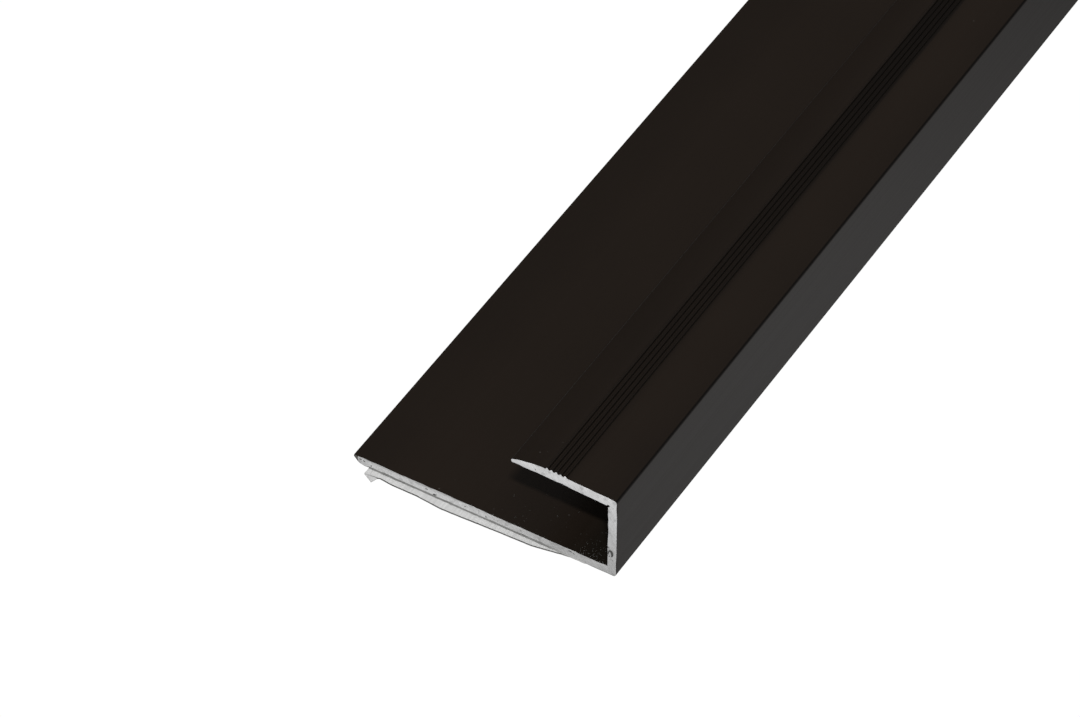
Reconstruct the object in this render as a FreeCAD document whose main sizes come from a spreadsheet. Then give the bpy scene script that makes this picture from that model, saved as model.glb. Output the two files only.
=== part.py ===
"""Self-adhesive square-edge floor trim: an aluminium extrusion with its tape and release liner.

Frame: +X across the section towards the web, +Y along the length, +Z up. The origin is the centre
of the footprint, on the floor. Millimetres throughout.
"""
import FreeCAD, Part
import math
import os

import Sketcher

LINE_START = 1
LINE_END = 2
ARC_CENTRE = 3
ORIGIN = -1
ORIGIN_POINT = 1

# name, value, what it is
SIZES = [
    ("length", 900.0, "cut length of the bar"),
    ("width", 30.0, "across the section, flange edge to web face"),
    ("height", 10.5, "flange underside to the corner of web and lip"),
    ("flange_wall", 1.0, "thickness of the bottom flange"),
    ("web_wall", 0.95, "thickness of the web"),
    ("lip_wall", 1.05, "thickness of the lip"),
    ("lip_reach", 11.8, "web face to the lip's nose"),
    ("lip_rise", 2.4, "degrees that the lip opens upwards from level"),
    ("crown_width", 3.4, "width of the curved strip beside the nose"),
    ("crown_radius", 7.3, "radius of that curve"),
    ("nose_thickness", 0.38, "thickness of the lip at its nose"),
    ("nose_radius", 0.14, "rounding of the nose"),
    ("web_top_radius", 0.35, "outer corner of web and lip"),
    ("web_foot_radius", 0.35, "outer corner of web and flange"),
    ("edge_top_radius", 0.12, "upper corner of the flange's free edge"),
    ("edge_under_radius", 0.85, "lower corner of the flange's free edge, if its wall allows"),
    ("edge_land", 0.02, "least upright land between those two corners"),
    ("relief_radius", 0.17, "round relief in the corner under the lip"),
    ("rib_count", 5, "ribs along the lip"),
    ("rib_pitch", 0.51, "rib to rib"),
    ("rib_breadth", 0.28, "width of one rib"),
    ("rib_height", 0.19, "height of a rib above the lip"),
    ("rib_root", 0.2, "depth that a rib's body reaches into the lip"),
    ("rib_margin", 0.58, "last rib's middle to the start of the crown"),
    ("tape_inset", 1.7, "flange's free edge to the tape"),
    ("tape_margin", 3.5, "web face to the tape"),
    ("tape_thickness", 0.32, "thickness of the adhesive tape"),
    ("recess_depth", 0.2, "depth of the shallow recess that the tape lies in"),
    ("recess_clearance", 0.05, "gap between the tape and each side of the recess"),
    ("liner_thickness", 0.15, "thickness of the release liner"),
    ("tab_reach", 1.5, "most that the liner sticks out past either end"),
]

# The liner's uneven near edge, as torn: share of its breadth from the free-edge side, and share of
# tab_reach out past the bar's end. It starts with the small tab and runs back behind the end.
LINER_EDGE = [
    (0.0, 0.5),
    (0.05, 1.0),
    (0.056, 0.55),
    (0.068, 0.42),
    (0.24, 0.44),
    (0.36, 0.62),
    (0.5, 0.53),
    (0.63, 0.43),
    (0.77, 0.36),
    (0.83, 0.19),
    (0.89, 0.0),
    (1.0, -0.28),
]

# Levels and places that several sub-parts share, as expressions on the sheet.
UNDERSIDE = "(sizes.liner_thickness + sizes.tape_thickness - sizes.recess_depth)"
TAPE_BREADTH = "(sizes.width - sizes.tape_inset - sizes.tape_margin)"
TAPE_LEFT = "(sizes.width / 2 - sizes.tape_inset)"


def fill_sheet(doc):
    """The driving sizes, one aliased cell each."""
    sheet = doc.addObject("Spreadsheet::Sheet", "sizes")
    for row, (alias, value, meaning) in enumerate(SIZES, start=1):
        sheet.set(f"A{row}", meaning)
        sheet.set(f"B{row}", str(value))
        sheet.setAlias(f"B{row}", alias)
    doc.recompute()
    return sheet


def underside_level(size):
    """Height of the flange's underside above the floor."""
    return size.liner_thickness + size.tape_thickness - size.recess_depth


def tape_sides(size):
    """Where the tape and liner start and end across the section."""
    return size.tape_inset - size.width / 2, size.width / 2 - size.tape_margin


def origin_plane(body, role):
    """One of a body's own base planes."""
    for feature in body.Origin.OriginFeatures:
        if feature.Role == role:
            return feature
    raise ValueError(f"no plane {role}")


def new_sketch(body, name, role):
    """An empty sketch on one of the body's base planes."""
    sketch = body.newObject("Sketcher::SketchObject", name)
    sketch.AttachmentSupport = [(origin_plane(body, role), "")]
    sketch.MapMode = "FlatFace"
    return sketch


def line(sketch, start, end):
    """A straight edge, by its index in the sketch."""
    segment = Part.LineSegment(FreeCAD.Vector(*start, 0), FreeCAD.Vector(*end, 0))
    return sketch.addGeometry(segment, False)


def arc(sketch, centre, radius, first, last):
    """An arc from angle first to angle last, in radians."""
    circle = Part.Circle(FreeCAD.Vector(*centre, 0), FreeCAD.Vector(0, 0, 1), radius)
    return sketch.addGeometry(Part.ArcOfCircle(circle, first, last), False)


def join(sketch, first, first_end, second, second_end):
    """Two edge ends share a point."""
    sketch.addConstraint(Sketcher.Constraint("Coincident", first, first_end, second, second_end))


def hold(sketch, kind, *edges):
    """A rule with no number, such as Horizontal, Vertical or Parallel."""
    sketch.addConstraint(Sketcher.Constraint(kind, *edges))


def measure(sketch, name, expression, kind, *place):
    """A named dimension that follows an expression on the sheet."""
    index = sketch.addConstraint(Sketcher.Constraint(kind, *place))
    sketch.renameConstraint(index, name)
    sketch.setExpression(f"Constraints.{name}", expression)


def pad(body, sketch, name, expression, both_sides):
    """Extrude a sketch by an expression, to one side or evenly to both."""
    feature = body.newObject("PartDesign::Pad", name)
    feature.Profile = sketch
    if both_sides:
        feature.SideType = "Symmetric"
    feature.setExpression("Length", expression)
    return feature


def draw_section(sketch, size):
    """The trim's section, corners still sharp.

    The sketch's x and y are the part's X and Z. The edges run round the outline from the flange's
    underside: underside, web face, lip top, crown, nose, nose underside, lip underside, web
    inside, flange top, free edge.
    """
    right = size.width / 2
    left = -right
    low = underside_level(size)
    high = low + size.height
    rise = math.radians(size.lip_rise)
    nose_x = right - size.lip_reach
    crown_x = nose_x + size.crown_width
    crown_z = high + (right - crown_x) * math.tan(rise)
    centre_x = crown_x - size.crown_radius * math.sin(rise)
    centre_z = crown_z - size.crown_radius * math.cos(rise)
    nose_angle = math.acos((nose_x - centre_x) / size.crown_radius)
    nose_z = centre_z + size.crown_radius * math.sin(nose_angle)
    nose_low = nose_z - size.nose_thickness
    inner_x = right - size.web_wall
    under_z = high + size.web_wall * math.tan(rise) - size.lip_wall / math.cos(rise)
    taper_x = inner_x - (nose_low - under_z) / math.tan(rise)
    floor_z = low + size.flange_wall

    underside = line(sketch, (left, low), (right, low))
    web_face = line(sketch, (right, low), (right, high))
    lip_top = line(sketch, (right, high), (crown_x, crown_z))
    crown = arc(sketch, (centre_x, centre_z), size.crown_radius, math.pi / 2 - rise, nose_angle)
    nose = line(sketch, (nose_x, nose_z), (nose_x, nose_low))
    nose_under = line(sketch, (nose_x, nose_low), (taper_x, nose_low))
    lip_under = line(sketch, (taper_x, nose_low), (inner_x, under_z))
    web_inside = line(sketch, (inner_x, under_z), (inner_x, floor_z))
    flange_top = line(sketch, (inner_x, floor_z), (left, floor_z))
    free_edge = line(sketch, (left, floor_z), (left, low))

    loop = [underside, web_face, lip_top, crown, nose]
    loop += [nose_under, lip_under, web_inside, flange_top, free_edge]
    for before, after in zip(loop, loop[1:] + loop[:1]):
        if (before, after) != (lip_top, crown):
            join(sketch, before, LINE_END, after, LINE_START)
    hold(sketch, "Tangent", lip_top, LINE_END, crown, LINE_START)
    for level in (underside, nose_under, flange_top):
        hold(sketch, "Horizontal", level)
    for upright in (web_face, nose, web_inside, free_edge):
        hold(sketch, "Vertical", upright)
    hold(sketch, "Parallel", lip_top, lip_under)

    corner = (web_face, LINE_START)
    top_corner = (web_face, LINE_END)
    origin = (ORIGIN, ORIGIN_POINT)
    measure(sketch, "half_width", "sizes.width / 2", "DistanceX", *origin, *corner, right)
    measure(sketch, "base_level", UNDERSIDE, "DistanceY", *origin, *corner, low)
    measure(sketch, "width", "sizes.width", "DistanceX", underside, LINE_START, *corner, size.width)
    measure(sketch, "height", "sizes.height", "DistanceY", *corner, *top_corner, size.height)
    measure(sketch, "rise", "(180 - sizes.lip_rise) * 1 deg", "Angle", lip_top, math.pi - rise)
    measure(sketch, "crown_radius", "sizes.crown_radius", "Radius", crown, size.crown_radius)
    measure(
        sketch, "crown_start", "sizes.lip_reach - sizes.crown_width",
        "DistanceX", lip_top, LINE_END, *corner, size.lip_reach - size.crown_width,
    )
    measure(sketch, "reach", "sizes.lip_reach", "DistanceX", nose, LINE_START, *corner, size.lip_reach)
    measure(
        sketch, "nose_thickness", "sizes.nose_thickness",
        "DistanceY", nose, LINE_END, nose, LINE_START, size.nose_thickness,
    )
    measure(sketch, "lip_wall", "sizes.lip_wall", "Distance", web_inside, LINE_START, lip_top, size.lip_wall)
    inner = (web_inside, LINE_END)
    measure(sketch, "web_wall", "sizes.web_wall", "DistanceX", *inner, *corner, size.web_wall)
    measure(sketch, "flange_wall", "sizes.flange_wall", "DistanceY", *corner, *inner, size.flange_wall)


def long_edge(shape, x, z):
    """The name of the edge that runs the bar's length at one corner of the section."""
    for number, edge in enumerate(shape.Edges, start=1):
        first = edge.firstVertex().Point
        last = edge.lastVertex().Point
        here = math.hypot(first.x - x, first.z - z) < 1e-5 and math.hypot(last.x - x, last.z - z) < 1e-5
        if here:
            return f"Edge{number}"
    raise ValueError(f"no long edge at {x}, {z}")


def round_corners(doc, body, solid, size):
    """Round the section's corners, one fillet for each named radius."""
    right = size.width / 2
    low = underside_level(size)
    nose_x = right - size.lip_reach
    nose_points = [edge.firstVertex().Point for edge in solid.Shape.Edges]
    nose_levels = sorted({round(point.z, 6) for point in nose_points if abs(point.x - nose_x) < 1e-6})
    edge_limit = "sizes.flange_wall - sizes.edge_top_radius - sizes.edge_land"
    corners = [
        ("web_top", "sizes.web_top_radius", [(right, low + size.height)]),
        ("web_foot", "sizes.web_foot_radius", [(right, low)]),
        ("edge_top", "sizes.edge_top_radius", [(-right, low + size.flange_wall)]),
        ("edge_under", f"min(sizes.edge_under_radius; {edge_limit})", [(-right, low)]),
        ("nose_round", "sizes.nose_radius", [(nose_x, level) for level in nose_levels]),
    ]
    for name, expression, places in corners:
        fillet = body.newObject("PartDesign::Fillet", name)
        fillet.Base = (solid, [long_edge(solid.Shape, x, z) for x, z in places])
        fillet.setExpression("Radius", expression)
        doc.recompute()
        solid = fillet
    return solid


def draw_rib(sketch, size):
    """One rib: two upright sides and a round top, in a frame that lies along the lip."""
    sketch.AttachmentOffset = FreeCAD.Placement(
        FreeCAD.Vector(size.width / 2, underside_level(size) + size.height, 0),
        FreeCAD.Rotation(FreeCAD.Vector(0, 0, 1), -size.lip_rise),
    )
    sketch.setExpression("AttachmentOffset.Base.x", "sizes.width / 2")
    sketch.setExpression("AttachmentOffset.Base.y", f"{UNDERSIDE} + sizes.height")
    sketch.setExpression("AttachmentOffset.Rotation.Angle", "-sizes.lip_rise * 1 deg")

    half = size.rib_breadth / 2
    middle = size.rib_margin + size.crown_width - size.lip_reach
    shoulder = size.rib_height - half
    near_side = line(sketch, (middle + half, -size.rib_root), (middle + half, shoulder))
    top = arc(sketch, (middle, shoulder), half, 0, math.pi)
    far_side = line(sketch, (middle - half, shoulder), (middle - half, -size.rib_root))
    root = line(sketch, (middle - half, -size.rib_root), (middle + half, -size.rib_root))
    hold(sketch, "Tangent", near_side, LINE_END, top, LINE_START)
    hold(sketch, "Tangent", top, LINE_END, far_side, LINE_START)
    join(sketch, far_side, LINE_END, root, LINE_START)
    join(sketch, root, LINE_END, near_side, LINE_START)
    hold(sketch, "Vertical", near_side)
    hold(sketch, "Vertical", far_side)
    hold(sketch, "Horizontal", root)
    origin = (ORIGIN, ORIGIN_POINT)
    centre = (top, ARC_CENTRE)
    measure(
        sketch, "breadth", "sizes.rib_breadth",
        "DistanceX", root, LINE_START, root, LINE_END, size.rib_breadth,
    )
    measure(
        sketch, "place", "sizes.lip_reach - sizes.crown_width - sizes.rib_margin",
        "DistanceX", *centre, *origin, -middle,
    )
    measure(
        sketch, "shoulder", "sizes.rib_height - sizes.rib_breadth / 2",
        "DistanceY", *origin, *centre, shoulder,
    )
    measure(sketch, "root", "sizes.rib_root", "DistanceY", root, LINE_START, *origin, size.rib_root)


def draw_relief(sketch, size):
    """The round relief, centred on the corner of the web's inside and the lip's underside."""
    rise = math.radians(size.lip_rise)
    across = size.width / 2 - size.web_wall
    high = underside_level(size) + size.height
    level = high + size.web_wall * math.tan(rise) - size.lip_wall / math.cos(rise)
    circle = Part.Circle(FreeCAD.Vector(across, level, 0), FreeCAD.Vector(0, 0, 1), size.relief_radius)
    ring = sketch.addGeometry(circle, False)
    origin = (ORIGIN, ORIGIN_POINT)
    measure(sketch, "radius", "sizes.relief_radius", "Radius", ring, size.relief_radius)
    centre = (ring, ARC_CENTRE)
    measure(sketch, "across", "sizes.width / 2 - sizes.web_wall", "DistanceX", *origin, *centre, across)
    measure(
        sketch, "level",
        f"{UNDERSIDE} + sizes.height"
        " + sizes.web_wall * tan(sizes.lip_rise * 1 deg) - sizes.lip_wall / cos(sizes.lip_rise * 1 deg)",
        "DistanceY", *origin, *centre, level,
    )


def rectangle(sketch, left, right, low, high):
    """Four sides of a level rectangle; the first starts at its lower left corner."""
    corners = [(left, low), (right, low), (right, high), (left, high)]
    sides = [line(sketch, here, there) for here, there in zip(corners, corners[1:] + corners[:1])]
    for before, after in zip(sides, sides[1:] + sides[:1]):
        join(sketch, before, LINE_END, after, LINE_START)
    hold(sketch, "Horizontal", sides[0])
    hold(sketch, "Horizontal", sides[2])
    hold(sketch, "Vertical", sides[1])
    hold(sketch, "Vertical", sides[3])
    return sides


def draw_recess(sketch, size):
    """The tape's shallow recess in the flange's underside, open below."""
    left, right = tape_sides(size)
    left -= size.recess_clearance
    right += size.recess_clearance
    low = underside_level(size)
    high = low + size.recess_depth
    open_low = low - size.recess_depth
    sides = rectangle(sketch, left, right, open_low, high)
    corner = (sides[2], LINE_END)
    origin = (ORIGIN, ORIGIN_POINT)
    measure(
        sketch, "inset", f"{TAPE_LEFT} + sizes.recess_clearance",
        "DistanceX", *corner, *origin, -left,
    )
    measure(
        sketch, "breadth", f"{TAPE_BREADTH} + 2 * sizes.recess_clearance",
        "DistanceX", *corner, sides[2], LINE_START, right - left,
    )
    measure(sketch, "top", f"{UNDERSIDE} + sizes.recess_depth", "DistanceY", *origin, *corner, high)
    measure(
        sketch, "reach", "2 * sizes.recess_depth",
        "DistanceY", sides[3], LINE_END, *corner, high - open_low,
    )


def pocket(doc, body, name, sketch, expression):
    """Cut a sketch out of the body, evenly to both sides, and make sure that it cuts."""
    before = body.Tip.Shape.Volume
    cut = body.newObject("PartDesign::Pocket", name)
    cut.Profile = sketch
    cut.SideType = "Symmetric"
    cut.setExpression("Length", expression)
    body.Tip = cut
    doc.recompute()
    if cut.Shape.Volume >= before:
        raise ValueError(f"{name} cuts nothing")
    return cut


def make_profile(doc, size):
    """The aluminium trim: section, rounded corners, ribs, corner relief and tape recess."""
    body = doc.addObject("PartDesign::Body", "profile_body")
    body.Label = "edge_profile"
    section = new_sketch(body, "section", "XZ_Plane")
    draw_section(section, size)
    bar = pad(body, section, "bar", "sizes.length", True)
    doc.recompute()
    rounded = round_corners(doc, body, bar, size)
    plain_volume = rounded.Shape.Volume

    rib_sketch = new_sketch(body, "rib_outline", "XZ_Plane")
    draw_rib(rib_sketch, size)
    rib = pad(body, rib_sketch, "rib", "sizes.length", True)
    doc.recompute()
    one_rib = rib.Shape.Volume - plain_volume
    ribs = body.newObject("PartDesign::LinearPattern", "ribs")
    ribs.Originals = [rib]
    ribs.Direction = (rib_sketch, ["H_Axis"])
    ribs.Mode = "Spacing"
    ribs.setExpression("Offset", "sizes.rib_pitch")
    ribs.setExpression("Occurrences", "sizes.rib_count")
    body.Tip = ribs
    doc.recompute()
    added = ribs.Shape.Volume - plain_volume
    if abs(added - size.rib_count * one_rib) > 0.01 * added:
        raise ValueError(f"the ribs add {added:.3f}, not {size.rib_count} times {one_rib:.3f}")

    relief_sketch = new_sketch(body, "relief_outline", "XZ_Plane")
    draw_relief(relief_sketch, size)
    pocket(doc, body, "corner_relief", relief_sketch, "sizes.length")
    recess_sketch = new_sketch(body, "recess_outline", "XZ_Plane")
    draw_recess(recess_sketch, size)
    pocket(doc, body, "tape_recess", recess_sketch, "sizes.length")
    return body


def lay_flat(sketch, expression, level):
    """Lift a sketch on the ground plane to a level above the floor."""
    sketch.AttachmentOffset = FreeCAD.Placement(FreeCAD.Vector(0, 0, level), FreeCAD.Rotation())
    sketch.setExpression("AttachmentOffset.Base.z", expression)


def make_tape(doc, size):
    """The adhesive tape: a rectangle as long as the bar, between the flange and the liner."""
    body = doc.addObject("PartDesign::Body", "tape_body")
    body.Label = "adhesive_tape"
    sketch = new_sketch(body, "tape_outline", "XY_Plane")
    lay_flat(sketch, "sizes.liner_thickness", size.liner_thickness)
    left, right = tape_sides(size)
    end = size.length / 2
    sides = rectangle(sketch, left, right, -end, end)
    corner = (sides[0], LINE_START)
    origin = (ORIGIN, ORIGIN_POINT)
    measure(sketch, "inset", TAPE_LEFT, "DistanceX", *corner, *origin, -left)
    measure(sketch, "half_length", "sizes.length / 2", "DistanceY", *corner, *origin, end)
    measure(sketch, "breadth", TAPE_BREADTH, "DistanceX", *corner, sides[0], LINE_END, right - left)
    measure(
        sketch, "length", "sizes.length",
        "DistanceY", sides[1], LINE_START, sides[1], LINE_END, size.length,
    )
    pad(body, sketch, "tape", "sizes.tape_thickness", False)
    doc.recompute()
    return body


def make_liner(doc, size):
    """The release liner: the tape's breadth, past both ends of the bar, uneven at the near end."""
    body = doc.addObject("PartDesign::Body", "liner_body")
    body.Label = "release_liner"
    sketch = new_sketch(body, "liner_outline", "XY_Plane")
    left, right = tape_sides(size)
    breadth = right - left
    end = size.length / 2
    far_end = end + size.tab_reach
    points = [(left + across * breadth, -end - out * size.tab_reach) for across, out in LINER_EDGE]
    points += [(right, far_end), (left, far_end)]
    edges = [line(sketch, here, there) for here, there in zip(points, points[1:] + points[:1])]
    for before, after in zip(edges, edges[1:] + edges[:1]):
        join(sketch, before, LINE_END, after, LINE_START)
    far = "-(sizes.length / 2 + sizes.tab_reach)"
    places = [
        (f"{TAPE_LEFT} - {TAPE_BREADTH} * {across}", f"sizes.length / 2 + sizes.tab_reach * {out}")
        for across, out in LINER_EDGE
    ]
    places += [(f"{TAPE_LEFT} - {TAPE_BREADTH}", far), (TAPE_LEFT, far)]
    for number, (edge, point, place) in enumerate(zip(edges, points, places)):
        ends = (edge, LINE_START, ORIGIN, ORIGIN_POINT)
        measure(sketch, f"across_{number}", place[0], "DistanceX", *ends, -point[0])
        measure(sketch, f"along_{number}", place[1], "DistanceY", *ends, -point[1])
    pad(body, sketch, "liner", "sizes.liner_thickness", False)
    doc.recompute()
    return body


def check_document(doc, bodies):
    """Stop if any object failed or any sub-part's shape isn't one valid solid."""
    for item in doc.Objects:
        for state in ("Invalid", "Error"):
            if state in item.State:
                raise ValueError(f"{item.Name} is {item.State}")
    for body in bodies:
        shape = body.Shape
        if shape.isNull() or not shape.isValid() or len(shape.Solids) != 1:
            raise ValueError(f"{body.Label} has no single valid solid")


def main():
    doc = FreeCAD.newDocument("floor_trim")
    size = fill_sheet(doc)
    bodies = [make_profile(doc, size), make_tape(doc, size), make_liner(doc, size)]
    check_document(doc, bodies)
    os.makedirs("parts", exist_ok=True)
    for body in bodies:
        body.Shape.exportStep(f"parts/{body.Label}.step")
        box = body.Shape.BoundBox
        print(f"{body.Label}: {body.Shape.Volume:.2f} mm3, {box}")


main()
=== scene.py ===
"""The finished look of a self-adhesive floor edge trim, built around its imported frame.

The bar is an aluminium extrusion, anodised dark bronze and sawn square. A thin adhesive tape lies in
a recess under its flange, covered by a pale release liner that sticks out a little at the sawn end.
Everything is in metres: +X across the section to the web, +Y along the bar, +Z up.
"""

import logging
import math
from dataclasses import dataclass
from enum import Enum

import bpy
import numpy as np
from mathutils import Euler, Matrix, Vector

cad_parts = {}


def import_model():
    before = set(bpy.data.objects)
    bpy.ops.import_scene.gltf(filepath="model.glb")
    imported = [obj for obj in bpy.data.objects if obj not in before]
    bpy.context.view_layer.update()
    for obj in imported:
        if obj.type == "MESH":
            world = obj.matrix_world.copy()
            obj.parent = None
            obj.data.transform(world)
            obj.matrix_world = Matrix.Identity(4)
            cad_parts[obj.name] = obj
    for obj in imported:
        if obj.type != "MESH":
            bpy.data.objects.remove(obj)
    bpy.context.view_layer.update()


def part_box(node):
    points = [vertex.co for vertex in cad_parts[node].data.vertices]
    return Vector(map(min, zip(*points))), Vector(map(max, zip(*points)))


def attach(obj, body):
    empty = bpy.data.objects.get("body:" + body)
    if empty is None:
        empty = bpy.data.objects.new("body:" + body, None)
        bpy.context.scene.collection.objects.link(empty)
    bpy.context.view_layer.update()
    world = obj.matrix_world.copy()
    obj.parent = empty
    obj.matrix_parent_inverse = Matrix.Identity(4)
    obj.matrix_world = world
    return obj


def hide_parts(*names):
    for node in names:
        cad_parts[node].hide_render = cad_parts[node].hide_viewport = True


LOG = logging.getLogger("floor_trim")
MM = 0.001
BODY = "root"

Rgb = tuple[float, float, float]
Span = tuple[float, float]
Point2 = tuple[float, float]
Face = tuple[int, ...]
Shell = tuple[np.ndarray, list[Face]]
Socket = bpy.types.NodeSocket
Material = bpy.types.Material
Object = bpy.types.Object
Axes = bpy.types.NodeOutputs


class Node(Enum):
    """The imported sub-parts that the detailed pieces stand for."""

    PROFILE = "edge_profile"
    TAPE = "adhesive_tape"
    LINER = "release_liner"


class Slot(Enum):
    """The record's material slots."""

    BRONZE = "bronze_anodised"
    ADHESIVE = "adhesive"
    PAPER = "liner_paper"


class Group(Enum):
    """Shader node groups that several finishes share."""

    STREAKS = "length_streaks"
    SPECKS = "dust_specks"
    CLOUDS = "soft_clouds"
    END_BAND = "end_band"


# ---- shader helpers


class Wiring:
    """Adds nodes to one node tree and links them."""

    def __init__(self, tree: bpy.types.NodeTree) -> None:
        """Start with an empty tree."""
        self.tree = tree
        self.tree.nodes.clear()

    def add(self, kind: str, **settings: object) -> bpy.types.Node:
        """Add a node and set its properties.

        Args:
            kind: the node's type name.
            **settings: properties to set on it.

        Returns:
            The new node.
        """
        node = self.tree.nodes.new(kind)
        for name, value in settings.items():
            setattr(node, name, value)
        return node

    def link(self, source: Socket, target: Socket) -> None:
        """Join an output to an input."""
        self.tree.links.new(source, target)

    def feed(self, socket: Socket, value: object) -> None:
        """Link an output to a socket, or set the socket's own value.

        Args:
            socket: the input to feed.
            value: an output socket, or a plain value.
        """
        if isinstance(value, bpy.types.NodeSocket):
            self.link(value, socket)
        else:
            socket.default_value = value

    def math(self, operation: str, *values: object, clamp: bool = False) -> Socket:
        """A Math node.

        Args:
            operation: its operation.
            *values: a number or an output socket for each input.
            clamp: keep the result between 0 and 1.

        Returns:
            The node's output.
        """
        node = self.add("ShaderNodeMath", operation=operation, use_clamp=clamp)
        for socket, value in zip(node.inputs, values):
            self.feed(socket, value)
        return node.outputs[0]

    def times(self, first: object, second: object) -> Socket:
        """The product of two values."""
        return self.math("MULTIPLY", first, second)

    def line(self, value: object, slope: object, start: object, clamp: bool = False) -> Socket:
        """A value times a slope, and a start added."""
        return self.math("MULTIPLY_ADD", value, slope, start, clamp=clamp)

    def ramp(self, value: Socket, low: float, high: float) -> Socket:
        """A smooth step from 0 at one value to 1 at another.

        Args:
            value: what the step follows.
            low: where it is 0.
            high: where it is 1.

        Returns:
            The step.
        """
        node = self.add("ShaderNodeMapRange", interpolation_type="SMOOTHSTEP", clamp=True)
        for name, given in (("Value", value), ("From Min", low), ("From Max", high)):
            self.feed(node.inputs[name], given)
        return node.outputs["Result"]

    def band(self, value: Socket, rise: Span, fall: Span) -> Socket:
        """A mask that rises over one span of a value and falls over another."""
        return self.times(self.ramp(value, *rise), self.ramp(value, *fall))

    def mix(self, factor: Socket, first: Socket | Rgb, second: Socket | Rgb) -> Socket:
        """Mix two colours.

        Args:
            factor: share of the second colour.
            first: a colour or an output.
            second: a colour or an output.

        Returns:
            The mixed colour.
        """
        node = self.add("ShaderNodeMix", data_type="RGBA")
        self.feed(node.inputs["Factor"], factor)
        for socket, value in zip((node.inputs[6], node.inputs[7]), (first, second)):
            self.feed(socket, (*value, 1.0) if isinstance(value, tuple) else value)
        return node.outputs[2]

    def cover(self, colour: Socket, top: Rgb, mask: Socket, most: float) -> Socket:
        """Lay a top colour over a colour where a mask is, up to a share of most."""
        return self.mix(self.times(mask, most), colour, top)

    def place(self) -> Socket:
        """The surface point in the part's own frame, in metres."""
        return self.add("ShaderNodeTexCoord").outputs["Object"]

    def axes(self, vector: Socket) -> Axes:
        """A vector's X, Y and Z outputs.

        Args:
            vector: the vector to split.

        Returns:
            The three outputs, by name.
        """
        node = self.add("ShaderNodeSeparateXYZ")
        self.link(vector, node.inputs["Vector"])
        return node.outputs

    def mapped(self, vector: Socket, scale: Rgb, turn: Rgb = (0.0, 0.0, 0.0)) -> Socket:
        """Scale and turn a place before it goes to a texture.

        Args:
            vector: the place.
            scale: its scale on each axis.
            turn: its turn about each axis, in radians.

        Returns:
            The new place.
        """
        node = self.add("ShaderNodeMapping")
        for name, given in (("Vector", vector), ("Scale", scale), ("Rotation", turn)):
            self.feed(node.inputs[name], given)
        return node.outputs["Vector"]

    def use(self, group: Group, **values: object) -> Socket:
        """Place a shared group and feed its named inputs.

        Args:
            group: which group.
            **values: each input's value or source, with underscores for spaces.

        Returns:
            The group's mask.
        """
        node = self.add("ShaderNodeGroup", node_tree=bpy.data.node_groups[group.value])
        for name, value in values.items():
            self.feed(node.inputs[name.replace("_", " ")], value)
        return node.outputs["Mask"]


class Surface(Wiring):
    """The wiring of one material, round its Principled shader."""

    def __init__(self, tree: bpy.types.NodeTree) -> None:
        """Add the shader and the material's output.

        Args:
            tree: the material's tree.
        """
        super().__init__(tree)
        self.shader = self.add("ShaderNodeBsdfPrincipled")
        output = self.add("ShaderNodeOutputMaterial")
        self.link(self.shader.outputs["BSDF"], output.inputs["Surface"])

    def paint(self, **values: object) -> None:
        """Feed the shader's named inputs, with underscores for spaces."""
        for name, value in values.items():
            self.feed(self.shader.inputs[name.replace("_", " ")], value)

    def bump(self, height: Socket, depth: float, strength: float) -> None:
        """Feed a height to the shader's normal.

        Args:
            height: the height, from 0 to 1.
            depth: what 1 stands for, in metres.
            strength: the Bump node's strength.
        """
        node = self.add("ShaderNodeBump")
        for name, value in (("Strength", strength), ("Distance", depth), ("Height", height)):
            self.feed(node.inputs[name], value)
        self.paint(Normal=node.outputs["Normal"])


def new_group(group: Group, numbers: dict[str, float]) -> tuple[Wiring, Axes, Socket]:
    """Make a node group with a Vector input, number inputs and a Mask output.

    Args:
        group: which group.
        numbers: each number input's name and starting value.

    Returns:
        The wiring of its tree, what the group is given, and its mask's socket.
    """
    tree = bpy.data.node_groups.new(group.value, "ShaderNodeTree")
    tree.interface.new_socket(name="Vector", in_out="INPUT", socket_type="NodeSocketVector")
    for name, value in numbers.items():
        socket = tree.interface.new_socket(name=name, in_out="INPUT", socket_type="NodeSocketFloat")
        socket.default_value = value
    tree.interface.new_socket(name="Mask", in_out="OUTPUT", socket_type="NodeSocketFloat")
    wiring = Wiring(tree)
    given = wiring.add("NodeGroupInput").outputs
    return wiring, given, wiring.add("NodeGroupOutput").inputs["Mask"]


def build_noise_group(group: Group, detail: float, roughness: float) -> None:
    """Noise stretched about its middle: streaks where its place is squeezed, or soft patches.

    Args:
        group: which group.
        detail: how many finer layers the noise has.
        roughness: how strong those layers are.
    """
    wiring, given, mask = new_group(group, {"Scale": 40.0, "Contrast": 1.5})
    noise = wiring.add("ShaderNodeTexNoise", noise_dimensions="3D")
    for name, value in (("Vector", given["Vector"]), ("Scale", given["Scale"])):
        wiring.link(value, noise.inputs[name])
    noise.inputs["Detail"].default_value = detail
    noise.inputs["Roughness"].default_value = roughness
    middle = 0.5
    centred = wiring.math("SUBTRACT", noise.outputs["Fac"], middle)
    stretched = wiring.times(centred, given["Contrast"])
    wiring.link(wiring.math("ADD", stretched, middle, clamp=True), mask)


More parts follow.
